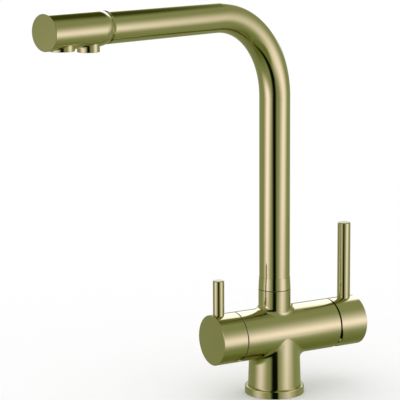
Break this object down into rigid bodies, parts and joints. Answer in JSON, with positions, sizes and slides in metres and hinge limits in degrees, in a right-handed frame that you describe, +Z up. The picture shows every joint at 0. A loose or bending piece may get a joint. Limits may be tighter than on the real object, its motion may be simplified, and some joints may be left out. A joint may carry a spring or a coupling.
{
  "type": "kitchen mixer tap",
  "caption": "Deck-mounted kitchen mixer tap with a swivelling L-shaped spout, twin outlets under its head and rod levers on both ends of a horizontal barrel.",
  "frame": {"origin": "centre of the foot on the worktop, at the mouth of the fixing stud's hole", "axes": "+Z up along the stem and neck, +X along the barrel towards the mixer lever, the user stands at -Y; the spout rests turned 14.8 degrees from -X towards the user, as pictured"},
  "size_m": [0.3543, 0.1112, 0.367],
  "materials": {
    "polished_brass": "polished olive-gold brass",
    "raw_brass": "machined",
    "seal_rubber": "moulded black rubber",
    "ceramic": "lapped alumina ceramic",
    "moulded_plastic": "moulded acetal",
    "steel": "stainless steel"
  },
  "bodies": {
    "body": {"base_ring": "polished_brass", "base_gasket": "seal_rubber", "body_casting": "polished_brass", "spout_retaining_screw": "steel", "filter_pipe_seal": "seal_rubber", "spout_glide_washer": "moulded_plastic", "filter_valve_washer": "seal_rubber", "filter_valve_housing": "raw_brass", "filter_valve_seat": "seal_rubber", "filter_fixed_disc": "ceramic", "cartridge_base": "moulded_plastic", "cartridge_seals": "seal_rubber", "mixer_fixed_disc": "ceramic", "cartridge_housing": "moulded_plastic", "cartridge_nut": "raw_brass"},
    "spout": {"spout_pivot": "polished_brass", "spout_seals": "seal_rubber", "spout_collar": "polished_brass", "spout_tube": "polished_brass", "filter_pipe": "moulded_plastic", "spout_head": "polished_brass", "filter_outlet_ring": "polished_brass", "filter_outlet_insert": "moulded_plastic", "filter_outlet_washer": "seal_rubber", "mixer_outlet_ring": "polished_brass", "mixer_outlet_insert": "moulded_plastic", "mixer_outlet_washer": "seal_rubber"},
    "filter_handle": {"filter_moving_disc": "ceramic", "filter_spindle": "raw_brass", "filter_spindle_seal": "seal_rubber", "filter_handle_cap": "polished_brass", "filter_lever_rod": "polished_brass", "filter_cap_screw": "steel"},
    "mixer_turret": {"cartridge_turret": "moulded_plastic", "spindle_pivot_pin": "steel"},
    "mixer_handle": {"mixer_spindle": "raw_brass", "mixer_handle_cap": "polished_brass", "mixer_lever_rod": "polished_brass", "mixer_cap_screw": "steel"},
    "mixer_disc": {"mixer_moving_disc": "ceramic", "mixer_disc_carrier": "moulded_plastic"}
  },
  "joints": [
    {"name": "spout_swivel", "type": "hinge", "parent": "body", "child": "spout", "pos_m": [0, 0, 0.0975], "axis": [0, 0, 1], "continuous": true},
    {"name": "filter_valve_turn", "type": "hinge", "parent": "body", "child": "filter_handle", "pos_m": [-0.042, 0, 0.0574], "axis": [1, 0, 0], "range_deg": [0, 90]},
    {"name": "mixer_temperature", "type": "hinge", "parent": "body", "child": "mixer_turret", "pos_m": [0.048, 0, 0.0574], "axis": [1, 0, 0], "range_deg": [-50, 50]},
    {"name": "mixer_flow", "type": "hinge", "parent": "mixer_turret", "child": "mixer_handle", "pos_m": [0.048, 0, 0.0574], "axis": [0, 1, 0], "range_deg": [0, 22]},
    {"name": "mixer_disc_slide", "type": "slide", "parent": "mixer_turret", "child": "mixer_disc", "axis": [0, 0, 1], "range_m": [0, 0.0039]}
  ],
  "couplings": [
    {"joint": "mixer_disc_slide", "follows": "mixer_flow", "m_per_rad": 0.0101}
  ]
}
